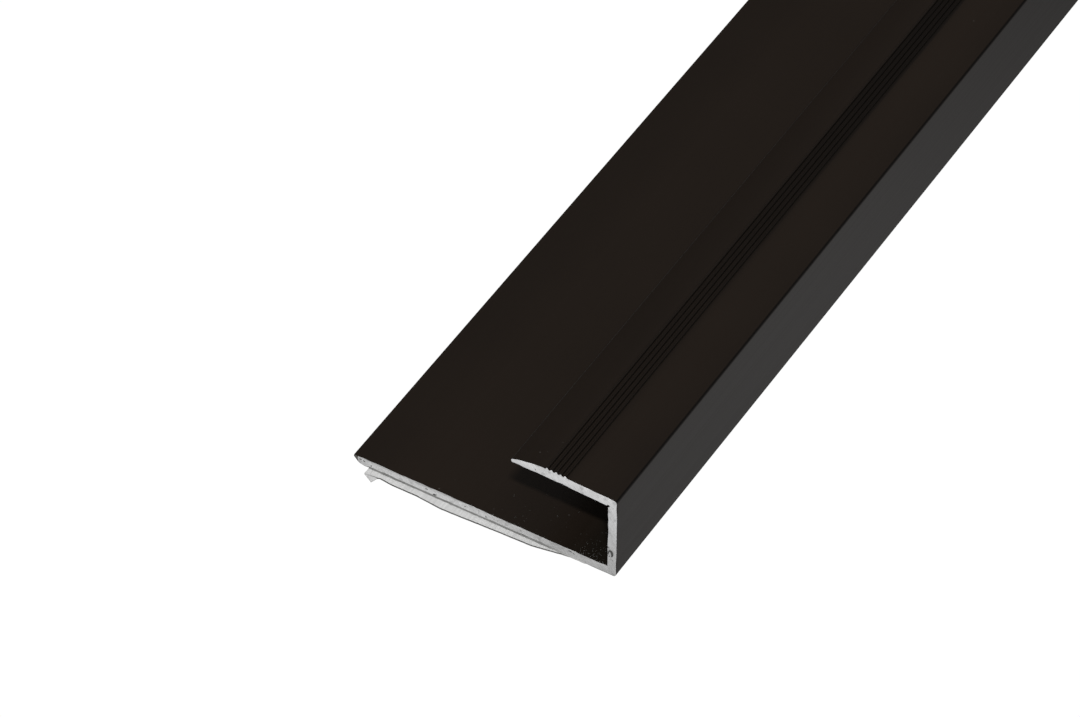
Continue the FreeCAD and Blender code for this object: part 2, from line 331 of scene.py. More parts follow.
def build_specks_group() -> None:
    """Sparse round specks: Share of the cells hold one, and it fills up to Radius of its cell."""
    smallest, edge_sharpness = 0.3, 2.5
    wiring, given, mask = new_group(Group.SPECKS, {"Cells": 500.0, "Share": 0.02, "Radius": 0.2})
    cells = wiring.add("ShaderNodeTexVoronoi", feature="F1")
    wiring.link(given["Vector"], cells.inputs["Vector"])
    wiring.link(given["Cells"], cells.inputs["Scale"])
    chance = wiring.add("ShaderNodeSeparateColor")
    wiring.link(cells.outputs["Color"], chance.inputs["Color"])
    chosen = wiring.math("LESS_THAN", chance.outputs["Red"], given["Share"])
    size = wiring.line(chance.outputs["Green"], 1.0 - smallest, smallest)
    reach = wiring.times(given["Radius"], size)
    nearness = wiring.math("SUBTRACT", 1.0, wiring.math("DIVIDE", cells.outputs["Distance"], reach))
    solid = wiring.math("MULTIPLY", nearness, edge_sharpness, clamp=True)
    wiring.link(wiring.times(solid, chosen), mask)


def build_end_band_group() -> None:
    """A mask that is 1 at either end of the bar and fades to 0 within Reach of it."""
    wiring, given, mask = new_group(Group.END_BAND, {"Half Length": 0.45, "Reach": 0.004})
    along = wiring.math("ABSOLUTE", wiring.axes(given["Vector"])["Y"])
    inside = wiring.math("SUBTRACT", given["Half Length"], along)
    share = wiring.math("DIVIDE", inside, given["Reach"], clamp=True)
    wiring.link(wiring.math("SUBTRACT", 1.0, share), mask)


# ---- finishes


@dataclass(frozen=True)
class Finish:
    """One surface finish. Subclasses wire their own nodes in dress()."""

    name: str

    def material(self) -> Material:
        """Build the finish's material.

        Returns:
            The new material.
        """
        made = bpy.data.materials.new(self.name)
        made.use_nodes = True
        self.dress(Surface(made.node_tree))
        return made

    def dress(self, surface: Surface) -> None:
        """Wire the finish's nodes into its shader."""
        raise NotImplementedError


@dataclass(frozen=True)
class BronzeAnodising(Finish):
    """Dark bronze anodising: satin, near black brown, with faint drawing lines and dust, painted shade on
    its slopes, ribs and inner corner, and a painted sheen across its flange and lip.
    """

    half_length: float
    deep: Rgb = (0.0106, 0.0068, 0.0044)
    warm: Rgb = (0.0149, 0.0096, 0.0062)
    painted_slope_shade: Rgb = (0.0026, 0.0017, 0.0011)
    dust: Rgb = (0.16, 0.155, 0.15)
    grime_and_shade: Rgb = (0.0046, 0.0044, 0.0032)
    roughness: float = 0.30
    line_roughness: float = 0.08
    dust_roughness: float = 0.3
    ior: float = 1.45
    line_weight: float = 0.45
    tone_weight: float = 0.45
    sheen_weight: float = 0.5
    flange_rise: Span = (-0.0138, -0.0075)
    flange_fall: Span = (0.0035, -0.0015)
    lip_rise: Span = (0.0092, 0.0104)
    lip_fall: Span = (0.0160, 0.0115)
    leaning: Span = (0.26, 0.62)
    upward: Span = (0.2, 0.5)
    ribs_x: Span = (0.00715, 0.00975)
    ribs_fade: float = 0.0002
    ribs_z: float = 0.0105
    ribs_y: Span = (-0.445, -0.372)
    ribs_shade: float = 0.05
    ribs_far_shade: float = 0.6
    corner_x: Span = (0.0080, 0.0122)
    corner_z: float = 0.0035
    corner_shade: float = 0.60
    dusty_end: float = 0.006
    loose_dust: float = 0.6
    dust_cover: float = 0.5

    def dress(self, surface: Surface) -> None:
        """Wire the colour with its painted sheen and painted shade, the drawing lines and the dust.

        Args:
            surface: the material's wiring.
        """
        place = surface.place()
        at = surface.axes(place)
        drawn = surface.mapped(place, (1.0, 0.004, 1.0))
        lines = surface.use(Group.STREAKS, Vector=drawn, Scale=2600.0, Contrast=1.6)
        clouds = surface.use(Group.CLOUDS, Vector=place, Scale=55.0, Contrast=2.0)
        # Painted sheen: the middle of the flange and of the lip is drawn lighter, towards the warm colour.
        on_flange = surface.band(at["X"], self.flange_rise, self.flange_fall)
        sheen = surface.math("MAXIMUM", on_flange, surface.band(at["X"], self.lip_rise, self.lip_fall))
        tone = surface.times(surface.line(lines, self.line_weight, clouds), self.tone_weight)
        share = surface.line(sheen, self.sheen_weight, tone, clamp=True)
        colour = self.shaded(surface, surface.mix(share, self.deep, self.warm), at)
        dusty = self.dusted(surface, place)
        colour = surface.cover(colour, self.dust, dusty, self.dust_cover)
        rough = surface.line(lines, self.line_roughness, self.roughness)
        rough = surface.line(dusty, self.dust_roughness, rough, clamp=True)
        surface.paint(Base_Color=colour, Roughness=rough, IOR=self.ior)
        surface.bump(lines, depth=0.000004, strength=0.35)

    def shaded(self, surface: Surface, colour: Socket, at: Axes) -> Socket:
        """Paint shade onto the crown and other faces that lean sideways, onto the ribs and into the
        channel's corner beside the web.

        Args:
            surface: the material's wiring.
            colour: the colour so far.
            at: the place's X, Y and Z.

        Returns:
            The darkened colour.
        """
        # Painted shade: faces that lean sideways while facing up, such as the crown and the rounded corners,
        # are darkened.
        facing = surface.axes(surface.add("ShaderNodeNewGeometry").outputs["Normal"])
        leaning = surface.ramp(surface.math("ABSOLUTE", facing["X"]), *self.leaning)
        upward = surface.ramp(facing["Z"], *self.upward)
        colour = surface.mix(surface.times(leaning, upward), colour, self.painted_slope_shade)
        # Painted shade: the ribs are darkened, lightly near the sawn end and more further along.
        start, end = self.ribs_x
        ribbed = surface.band(at["X"], (start, start + self.ribs_fade), (end, end - self.ribs_fade))
        ribbed = surface.times(ribbed, surface.math("GREATER_THAN", at["Z"], self.ribs_z))
        far = surface.ramp(at["Y"], *self.ribs_y)
        rib_shade_share = surface.line(far, self.ribs_far_shade, self.ribs_shade)
        colour = surface.mix(surface.times(ribbed, rib_shade_share), colour, self.painted_slope_shade)
        # Painted shade: the channel's floor is darkened in its corner beside the web.
        low_down = surface.math("LESS_THAN", at["Z"], self.corner_z)
        shaded_corner = surface.times(surface.ramp(at["X"], *self.corner_x), low_down)
        shaded_corner = surface.times(shaded_corner, upward)
        return surface.cover(colour, self.grime_and_shade, shaded_corner, self.corner_shade)

    def dusted(self, surface: Surface, place: Socket) -> Socket:
        """Where dust lies: a few specks anywhere and more near the ends.

        Args:
            surface: the material's wiring.
            place: the surface point.

        Returns:
            The dust's mask.
        """
        loose = surface.use(Group.SPECKS, Vector=place, Cells=420.0, Share=0.02, Radius=0.05)
        end = surface.use(Group.END_BAND, Vector=place, Half_Length=self.half_length, Reach=self.dusty_end)
        sawn = surface.use(Group.SPECKS, Vector=place, Cells=1500.0, Share=0.10, Radius=0.16)
        loose = surface.times(loose, self.loose_dust)
        return surface.math("MAXIMUM", loose, surface.times(sawn, end))


@dataclass(frozen=True)
class SawnAluminium(Finish):
    """Bare aluminium as the saw left it: grey, streaked and pitted, with painted light towards its top and
    flange side, painted shade along the flange's top edge and a painted contact shadow along its bottom
    edge.
    """

    bright: Rgb = (0.875, 0.875, 0.88)
    middle: Rgb = (0.625, 0.625, 0.625)
    dull: Rgb = (0.39, 0.39, 0.385)
    stain: Rgb = (0.085, 0.084, 0.078)
    blotch_and_contact_shade: Rgb = (0.20, 0.20, 0.195)
    metallic: float = 0.2
    roughness: Span = (0.42, 0.62)
    saw_angle: float = math.radians(34.0)
    cloud_weight: float = 0.6
    grain_weight: float = 0.9
    tone_gain: float = 0.62
    tone_offset: float = -0.24
    height_z: Span = (0.0015, 0.0105)
    outward_x: Span = (0.009, -0.003)
    outward_weight: float = 0.5
    blotched: Span = (0.66, 1.0)
    blotch_cover: float = 0.30
    pit_cover: float = 0.55
    shaded_edge_z: Span = (0.00102, 0.00126)
    shaded_edge_x: Span = (0.004, -0.006)
    shaded_edge_top: float = 0.002
    shaded_edge_cover: float = 0.6
    under_z: Span = (0.00040, 0.00029)
    contact_shade_cover: float = 0.8
    nose_x: float = -0.01438
    nose_fade: float = 0.00006
    nose_rag: float = 0.0002

    def dress(self, surface: Surface) -> None:
        """Wire the saw lines, the pits, the stained free edge and the painted light that brightens the top
        and the flange side.

        Args:
            surface: the material's wiring.
        """
        place = surface.place()
        at = surface.axes(place)
        turned = surface.mapped(place, (1.0, 1.0, 1.0), (0.0, self.saw_angle, 0.0))
        sawn = surface.mapped(turned, (1.0, 1.0, 0.12))
        lines = surface.use(Group.STREAKS, Vector=sawn, Scale=5200.0, Contrast=2.2)
        clouds = surface.use(Group.CLOUDS, Vector=place, Scale=620.0, Contrast=1.8)
        grains = surface.use(Group.CLOUDS, Vector=place, Scale=6500.0, Contrast=2.4)
        coarse = surface.line(clouds, self.cloud_weight, lines)
        tone = surface.line(grains, self.grain_weight, coarse)
        share = surface.line(tone, self.tone_gain, self.tone_offset, clamp=True)
        # Painted light: the face is drawn lighter towards its top and towards the flange side.
        outer = surface.times(surface.ramp(at["X"], *self.outward_x), self.outward_weight)
        raised = surface.math("MAXIMUM", surface.ramp(at["Z"], *self.height_z), outer)
        low = surface.mix(share, self.dull, self.middle)
        colour = surface.mix(raised, low, surface.mix(share, self.middle, self.bright))
        pits = surface.use(Group.SPECKS, Vector=place, Cells=2600.0, Share=0.09, Radius=0.26)
        colour = self.darkening(surface, place, colour, pits)
        ragged = surface.line(grains, self.nose_rag, at["X"])
        nose = surface.ramp(ragged, self.nose_x + self.nose_fade, self.nose_x - self.nose_fade)
        bare = surface.math("SUBTRACT", 1.0, surface.math("MAXIMUM", nose, pits), clamp=True)
        smooth, rough = self.roughness
        surface.paint(
            Base_Color=surface.mix(nose, colour, self.stain),
            Metallic=surface.times(bare, self.metallic),
            Roughness=surface.line(clouds, rough - smooth, smooth),
        )
        surface.bump(lines, depth=0.00002, strength=0.5)

    def darkening(self, surface: Surface, place: Socket, colour: Socket, pits: Socket) -> Socket:
        """Lay the blotches, the pits, the painted shade on the flange's top edge and the painted contact
        shadow on the bottom edge over the bare metal.

        Args:
            surface: the material's wiring.
            place: the surface point.
            colour: the bare metal's colour.
            pits: where the pits are.

        Returns:
            The darkened colour.
        """
        at = surface.axes(place)
        patches = surface.use(Group.CLOUDS, Vector=place, Scale=1300.0, Contrast=3.2)
        colour = surface.cover(colour, self.blotch_and_contact_shade, surface.ramp(patches, *self.blotched), self.blotch_cover)
        colour = surface.cover(colour, self.stain, pits, self.pit_cover)
        # Painted shade: the top edge of the flange's cut face is darkened.
        shaded_top_edge = surface.times(surface.ramp(at["Z"], *self.shaded_edge_z), surface.ramp(at["X"], *self.shaded_edge_x))
        shaded_top_edge = surface.times(shaded_top_edge, surface.math("LESS_THAN", at["Z"], self.shaded_edge_top))
        colour = surface.cover(colour, self.dull, shaded_top_edge, self.shaded_edge_cover)
        # Painted contact shadow: the bottom edge of the sawn face is darkened.
        return surface.cover(colour, self.blotch_and_contact_shade, surface.ramp(at["Z"], *self.under_z), self.contact_shade_cover)


@dataclass(frozen=True)
class Swarf(Finish):
    """What the saw left behind: dull grey with darker patches."""

    dark: Rgb
    pale: Rgb
    metallic: float = 0.5
    roughness: float = 0.55

    def dress(self, surface: Surface) -> None:
        """Wire the dull, patchy grey.

        Args:
            surface: the material's wiring.
        """
        clouds = surface.use(Group.CLOUDS, Vector=surface.place(), Scale=5200.0, Contrast=3.0)
        colour = surface.mix(clouds, self.dark, self.pale)
        metallic = surface.times(clouds, self.metallic)
        surface.paint(Base_Color=colour, Metallic=metallic, Roughness=self.roughness)
        surface.bump(clouds, depth=0.00001, strength=0.4)


@dataclass(frozen=True)
class TapeAdhesive(Finish):
    """The tape's grey, slightly tacky body, smeared paler near the web."""

    colour: Rgb = (0.15, 0.15, 0.145)
    pale: Rgb = (0.25, 0.25, 0.245)
    smear: Rgb = (0.50, 0.50, 0.49)
    smear_x: Span = (0.0062, 0.0105)
    roughness: float = 0.6

    def dress(self, surface: Surface) -> None:
        """Wire the tape's uneven grey.

        Args:
            surface: the material's wiring.
        """
        place = surface.place()
        clouds = surface.use(Group.CLOUDS, Vector=place, Scale=900.0, Contrast=2.0)
        grey = surface.mix(clouds, self.colour, self.pale)
        smeared = surface.ramp(surface.axes(place)["X"], *self.smear_x)
        surface.paint(Base_Color=surface.mix(smeared, grey, self.smear), Roughness=self.roughness)
        surface.bump(clouds, depth=0.00002, strength=0.4)


@dataclass(frozen=True)
class LinerPaper(Finish):
    """Pale siliconed paper, faintly hatched along the bar, with a crease across its tab drawn as a line of
    painted shade.
    """

    crease_y: float
    tab_x: float
    pale: Rgb = (0.71, 0.71, 0.705)
    shade: Rgb = (0.55, 0.55, 0.545)
    painted_crease_shade: Rgb = (0.10, 0.10, 0.097)
    crease_width: float = 0.00011
    crease_slope: float = 0.17
    fade_width: float = 0.0012
    fade: float = 0.65
    roughness: float = 0.55

    def dress(self, surface: Surface) -> None:
        """Wire the paper's hatching and the painted shade along the crease across its tab.

        Args:
            surface: the material's wiring.
        """
        place = surface.place()
        at = surface.axes(place)
        drawn = surface.mapped(place, (1.0, 0.03, 0.2))
        hatch = surface.use(Group.STREAKS, Vector=drawn, Scale=4200.0, Contrast=2.2)
        colour = surface.mix(hatch, self.shade, self.pale)
        # Painted shade: a dark line along the crease across the tab, weaker towards the tab's left side.
        slanted = surface.line(at["X"], -self.crease_slope, at["Y"])
        crease_at = self.crease_y - self.crease_slope * self.tab_x
        away = surface.math("ABSOLUTE", surface.math("SUBTRACT", slanted, crease_at))
        line = surface.ramp(away, self.crease_width, 0.0)
        on_tab = surface.ramp(at["X"], self.tab_x, self.tab_x - self.fade_width)
        fading = surface.math("SUBTRACT", 1.0, surface.times(on_tab, self.fade))
        within = surface.math("LESS_THAN", at["X"], self.tab_x)
        crease_shade_mask = surface.times(surface.times(line, fading), within)
        surface.paint(Base_Color=surface.mix(crease_shade_mask, colour, self.painted_crease_shade), Roughness=self.roughness)
        surface.bump(hatch, depth=0.00001, strength=0.5)


@dataclass(frozen=True)
class LinerEdge(Finish):
    """Dark grey for the liner's torn edge, also used as painted shadow on the row of its top beside that
    edge.
    """

    dark: Rgb = (0.075, 0.075, 0.072)
    pale: Rgb = (0.16, 0.16, 0.155)
    roughness: float = 0.8

    def dress(self, surface: Surface) -> None:
        """Wire the edge's uneven grey.

        Args:
            surface: the material's wiring.
        """
        clouds = surface.use(Group.CLOUDS, Vector=surface.place(), Scale=420.0, Contrast=2.5)
        surface.paint(Base_Color=surface.mix(clouds, self.dark, self.pale), Roughness=self.roughness)


# ---- mesh helpers


def wander(count: int, knots: int, seed: int) -> np.ndarray:
    """Smooth random values from -1 to 1 round a closed loop.

    Args:
        count: how many values.
        knots: how many random values they run through.
        seed: fixes the random values.

    Returns:
        The values.
    """
    rng = np.random.default_rng(seed)
    ring = rng.uniform(-1.0, 1.0, knots)
    at = np.arange(count) * knots / count
    low = np.floor(at).astype(int)
    share = at - low
    share = share * share * (3.0 - 2.0 * share)
    return ring[low % knots] * (1.0 - share) + ring[(low + 1) % knots] * share


def layered(count: int, layers: tuple[tuple[float, int, int], ...]) -> np.ndarray:
    """Several wanderings added up.

    Args:
        count: how many values.
        layers: each one's weight, knots and seed.

    Returns:
        The values.
    """
    return sum(weight * wander(count, knots, seed) for weight, knots, seed in layers)


def neighbours(count: int) -> list[tuple[int, int]]:
    """Each index round a closed ring, with the index after it."""
    return [(index, (index + 1) % count) for index in range(count)]


def joined(shells: list[Shell]) -> Shell:
    """Put several closed shells into one mesh.

    Args:
        shells: each shell's points and faces.

    Returns:
        All the points and all the faces.
    """
    faces: list[Face] = []
    start = 0
    for points, sides in shells:
        faces += [tuple(start + index for index in side) for side in sides]
        start += len(points)
    return np.concatenate([points for points, _ in shells]), faces


def placed(name: str, data: bpy.types.ID) -> Object:
    """Put a mesh, light or camera in the scene.

    Args:
        name: the object's name.
        data: what it shows or does.

    Returns:
        The new object.
    """
    made = bpy.data.objects.new(name, data)
    bpy.context.scene.collection.objects.link(made)
    return made


def finish_piece(
    name: str,
    shell: Shell,
    materials: list[Material],
    face_material: list[int],
    smooth_angle: float = math.radians(32.0),
) -> Object:
    """Make a mesh object that rides on the part.

    Args:
        name: the piece's name.
        shell: its points and faces.
        materials: its materials.
        face_material: each face's material, as an index.
        smooth_angle: edges sharper than this stay sharp.

    Returns:
        The new object.
    """
    points, faces = shell
    mesh = bpy.data.meshes.new(name)
    mesh.from_pydata([tuple(point) for point in points], [], faces)
    for material in materials:
        mesh.materials.append(material)
    mesh.polygons.foreach_set("material_index", face_material)
    mesh.polygons.foreach_set("use_smooth", [True] * len(faces))
    mesh.set_sharp_from_angle(angle=smooth_angle)
    mesh.validate()
    piece = placed(name, mesh)
    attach(piece, BODY)
    return piece


# ---- the bar


@dataclass
class TrimSection:
    """The bar's section across X and up Z, as an outline that runs anticlockwise."""

    left: float
    right: float
    low: float
    height: float = 10.5 * MM
    flange_wall: float = 1.0 * MM
    web_wall: float = 0.95 * MM
    lip_wall: float = 1.05 * MM
    lip_reach: float = 11.8 * MM
    lip_rise: float = math.radians(2.4)
    crown_width: float = 3.4 * MM
    crown_radius: float = 7.3 * MM
    crown_bow: float = 0.09 * MM
    crown_points: int = 16
    nose_thickness: float = 0.38 * MM
    nose_radius: float = 0.14 * MM
    outer_radius: float = 0.35 * MM
    edge_top_radius: float = 0.12 * MM
    tip_height: float = 0.76 * MM
    tip_radius: float = 0.12 * MM
    bevel_foot: Point2 = (0.66 * MM, 0.11 * MM)
    bevel_radius: float = 0.5 * MM
    land_start: float = 1.40 * MM
    inner_radius: float = 0.05 * MM
    fine_radius: float = 0.03 * MM
    taper_radius: float = 0.6 * MM
    relief_radius: float = 0.17 * MM
    relief_points: int = 12
    rib_count: int = 5
    rib_pitch: float = 0.51 * MM
    rib_breadth: float = 0.28 * MM
    rib_height: float = 0.19 * MM
    rib_margin: float = 0.58 * MM
    rib_roundness: float = 0.95
    recess_left: float = -13.35 * MM
    recess_right: float = 11.55 * MM
    recess_depth: float = 0.2 * MM
    spacing: float = 0.12 * MM

    def on_lip(self, along: float, above: float) -> Point2:
        """A point on the lip's top plane or above it.

        Args:
            along: distance from the web's face, along the lip.
            above: distance off the lip's top plane.

        Returns:
            Its X and Z.
        """
        cosine = math.cos(self.lip_rise)
        sine = math.sin(self.lip_rise)
        x = self.right - along * cosine + above * sine
        z = self.low + self.height + along * sine + above * cosine
        return x, z

    def crown(self) -> list[Point2]:
        """The curved strip beside the nose.

        Returns:
            Its points, from the lip's flat top to the nose.
        """
        nose_x = self.right - self.lip_reach
        start_x = nose_x + self.crown_width
        start_z = self.low + self.height + (self.right - start_x) * math.tan(self.lip_rise)
        centre_x = start_x - self.crown_radius * math.sin(self.lip_rise)
        centre_z = start_z - self.crown_radius * math.cos(self.lip_rise)
        nose_z = centre_z + math.sqrt(self.crown_radius**2 - (nose_x - centre_x) ** 2)
        strip = []
        for share in np.linspace(0.0, 1.0, self.crown_points):
            bow = 4.0 * share * (1.0 - share) * self.crown_bow
            strip.append((start_x + share * (nose_x - start_x), start_z + share * (nose_z - start_z) + bow))
        return strip

    def relief(self, x: float, z: float) -> list[Point2]:
        """The round relief in the corner under the lip.

        Args:
            x: its middle, across the section.
            z: its middle's height.

        Returns:
            Its points, from the lip's underside to the web.
        """
        angles = np.linspace(math.pi - self.lip_rise, -math.pi / 2, self.relief_points)
        radius = self.relief_radius
        return [(x + radius * math.cos(angle), z + radius * math.sin(angle)) for angle in angles]

    def rib(self, middle: float) -> list[tuple[Point2, float]]:
        """One rib's four corners.

        Args:
            middle: distance from the web's face to its middle, along the lip.

        Returns:
            The corners in order, each with its rounding.
        """
        half = self.rib_breadth / 2
        top_radius = half * self.rib_roundness
        return [
            (self.on_lip(middle - half, 0.0), self.fine_radius),
            (self.on_lip(middle - half, self.rib_height), top_radius),
            (self.on_lip(middle + half, self.rib_height), top_radius),
            (self.on_lip(middle + half, 0.0), self.fine_radius),
        ]

    def corners(self) -> list[tuple[Point2, float]]:
        """The outline's corners.

        Returns:
            The corners in order, each with its rounding.
        """
        high = self.low + self.height
        recess_top = self.low + self.recess_depth
        found: list[tuple[Point2, float]] = [
            ((self.left, self.low + self.tip_height), self.tip_radius),
            ((self.left + self.bevel_foot[0], self.low + self.bevel_foot[1]), self.bevel_radius),
            ((self.left + self.land_start, self.low), self.bevel_radius),
            ((self.recess_left, self.low), self.fine_radius),
            ((self.recess_left, recess_top), self.fine_radius),
            ((self.recess_right, recess_top), self.fine_radius),
            ((self.recess_right, self.low), self.fine_radius),
            ((self.right, self.low), self.outer_radius),
            ((self.right, high), self.outer_radius),
        ]
        last_rib = self.lip_reach - self.crown_width - self.rib_margin
        for number in reversed(range(self.rib_count)):
            found += self.rib(last_rib - number * self.rib_pitch)
        crown = self.crown()
        found += [(point, 0.0) for point in crown[:-1]]
        nose_x, nose_z = crown[-1]
        nose_low = nose_z - self.nose_thickness
        inner_x = self.right - self.web_wall
        slope = math.tan(self.lip_rise)
        under_z = high + self.web_wall * slope - self.lip_wall / math.cos(self.lip_rise)
        taper_x = inner_x - (nose_low - under_z) / slope
        floor_z = self.low + self.flange_wall
        found += [
            ((nose_x, nose_z), self.nose_radius),
            ((nose_x, nose_low), self.nose_radius),
            ((taper_x, nose_low), self.taper_radius),
        ]
        found += [(point, 0.0) for point in self.relief(inner_x, under_z)]
        found += [((inner_x, floor_z), self.inner_radius), ((self.left, floor_z), self.edge_top_radius)]
        return found

    def outline(self) -> np.ndarray:
        """The whole outline, rounded and evenly divided.

        Returns:
            One row of X and Z for each point.
        """
        corners = self.corners()
        rounded: list[np.ndarray] = []
        for index, (point, radius) in enumerate(corners):
            here = np.array(point)
            before = np.array(corners[index - 1][0])
            after = np.array(corners[(index + 1) % len(corners)][0])
            rounded += round_corner(before, here, after, radius)
        divided: list[np.ndarray] = []
        for here, there in zip(rounded, rounded[1:] + rounded[:1]):
            steps = max(1, math.ceil(float(np.linalg.norm(there - here)) / self.spacing))
            divided += [here + (there - here) * step / steps for step in range(steps)]
        return np.array(divided)


def round_corner(
    before: np.ndarray,
    here: np.ndarray,
    after: np.ndarray,
    radius: float,
    step_angle: float = math.radians(12.0),
) -> list[np.ndarray]:
    """Replace one corner of an outline by an arc.

    Args:
        before: the corner before it.
        here: the corner.
        after: the corner after it.
        radius: the arc's radius, or 0 to keep the corner.
        step_angle: the most that one step of the arc turns.

    Returns:
        The points that stand for the corner.
    """
    if radius <= 0.0:
        return [here]
    back = (before - here) / np.linalg.norm(before - here)
    ahead = (after - here) / np.linalg.norm(after - here)
    angle = math.acos(float(np.clip(back @ ahead, -1.0, 1.0)))
    run = radius / math.tan(angle / 2)
    middle = back + ahead
    centre = here + middle / np.linalg.norm(middle) * radius / math.sin(angle / 2)
    start = here + back * run - centre
    end = here + ahead * run - centre
    turn = math.atan2(start[0] * end[1] - start[1] * end[0], float(start @ end))
    steps = max(2, math.ceil(abs(turn) / step_angle))
    points = []
    for step in range(steps + 1):
        cosine, sine = math.cos(turn * step / steps), math.sin(turn * step / steps)
        spoke = [start[0] * cosine - start[1] * sine, start[0] * sine + start[1] * cosine]
        points.append(centre + np.array(spoke))
    return points


def outward(outline: np.ndarray) -> np.ndarray:
    """The directions that point out of an anticlockwise outline.

    Args:
        outline: its points.

    Returns:
        A unit vector for each point.
    """
    tangent = np.roll(outline, -1, axis=0) - np.roll(outline, 1, axis=0)
    normal = np.column_stack([tangent[:, 1], -tangent[:, 0]])
    return normal / np.linalg.norm(normal, axis=1)[:, None]


@dataclass
class TrimProfile:
    """The anodised bar with its sawn, slightly burred ends."""

    section: TrimSection
    near: float
    far: float
    top: float
    burr_width: float = 0.05 * MM
    wear_width: float = 0.07 * MM
    burr_depth: float = 0.03 * MM
    burr_reach: float = 0.07 * MM
    burr_points: int = 4000
    burr_knots: tuple[int, int] = (150, 62)
    burr_weight: float = 0.6
    rim: float = 0.015 * MM
    full_spacing: float = 0.03 * MM
    end_steps: tuple[float, ...] = (0.03 * MM, 0.08 * MM, 0.2 * MM, 0.6 * MM, 2.0 * MM, 8.0 * MM)
    middle_steps: int = 12
    near_seed: int = 11
    far_seed: int = 29

    def rings(self) -> list[float]:
        """Where the section is repeated along the bar.

        Returns:
            The places, near end first.
        """
        near_side = [self.near + step for step in self.end_steps]
        far_side = [self.far - step for step in reversed(self.end_steps)]
        middle = np.linspace(near_side[-1], far_side[0], self.middle_steps)[1:-1]
        return [self.near, *near_side, *middle.tolist(), *far_side, self.far]

    def unevenness(self, outline: np.ndarray, seed: int) -> np.ndarray:
        """How far the saw left each outline point proud (to 1) or worn back (to -1).

        Args:
            outline: the section's outline.
            seed: fixes the random values.

        Returns:
            One value for each point.
        """
        gap = np.linalg.norm(np.roll(outline, -1, axis=0) - outline, axis=1)
        room = np.clip(np.minimum(gap, np.roll(gap, 1)) / self.full_spacing, 0.0, 1.0)
        travelled = np.concatenate([[0.0], np.cumsum(gap)[:-1]]) / gap.sum()
        count = self.burr_points
        fine, coarse = self.burr_knots
        rough = layered(count, ((self.burr_weight, fine, seed), (self.burr_weight, coarse, seed + 1)))
        return np.interp(travelled, np.arange(count) / count, rough, period=1.0) * room

    def ring_at(self, y: float, outline: np.ndarray, normals: np.ndarray) -> np.ndarray:
        """One ring of the bar's skin, with the saw's burr near an end.

        Args:
            y: where it is along the bar.
            outline: the section's outline.
            normals: the directions out of the outline.

        Returns:
            The ring's points.
        """
        from_end = min(y - self.near, self.far - y)
        rough = self.unevenness(outline, self.near_seed if y < 0 else self.far_seed)
        burr = np.where(rough > 0.0, rough * self.burr_width, rough * self.wear_width)
        fade = math.exp(-((from_end / self.burr_reach) ** 2))
        ring = outline + normals * (burr * fade)[:, None]
        ring[:, 0] = np.clip(ring[:, 0], self.section.left, self.section.right)
        ring[:, 1] = np.minimum(ring[:, 1], self.top)
        inward = self.burr_depth if y < 0 else -self.burr_depth
        dent = inward * np.clip(rough, 0.0, 1.0) if from_end == 0.0 else np.zeros(len(outline))
        return np.column_stack([ring[:, 0], y + dent, ring[:, 1]])

    def build(self, anodising: Material, sawn: Material) -> Object:
        """Build the bar.

        Args:
            anodising: the finish of its drawn faces.
            sawn: the finish of its two ends.

        Returns:
            The bar's object.
        """
        outline = self.section.outline()
        normals = outward(outline)
        count = len(outline)
        points = [self.ring_at(y, outline, normals) for y in self.rings()]
        last = len(points) - 1
        faces: list[Face] = []
        kinds: list[int] = []
        for ring in range(last):
            here, there = ring * count, (ring + 1) * count
            faces += [(here + one, there + one, there + two, here + two) for one, two in neighbours(count)]
            kinds += [1 if ring in (0, last - 1) else 0] * count
        for end, y in ((0, self.near), (last, self.far)):
            inner = points[end][:, [0, 2]] - normals * self.rim
            edge, start = end * count, len(points) * count
            points.append(np.column_stack([inner[:, 0], np.full(count, y), inner[:, 1]]))
            rim = [(edge + one, edge + two, start + two, start + one) for one, two in neighbours(count)]
            cap = [*rim, tuple(range(start, start + count))]
            faces += cap if end == 0 else [face[::-1] for face in cap]
            kinds += [1] * len(cap)
        shell = np.concatenate(points), faces
        piece = finish_piece("trim_profile", shell, [anodising, sawn], kinds)
        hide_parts(Node.PROFILE.value)
        return piece


# ---- the tape and its liner


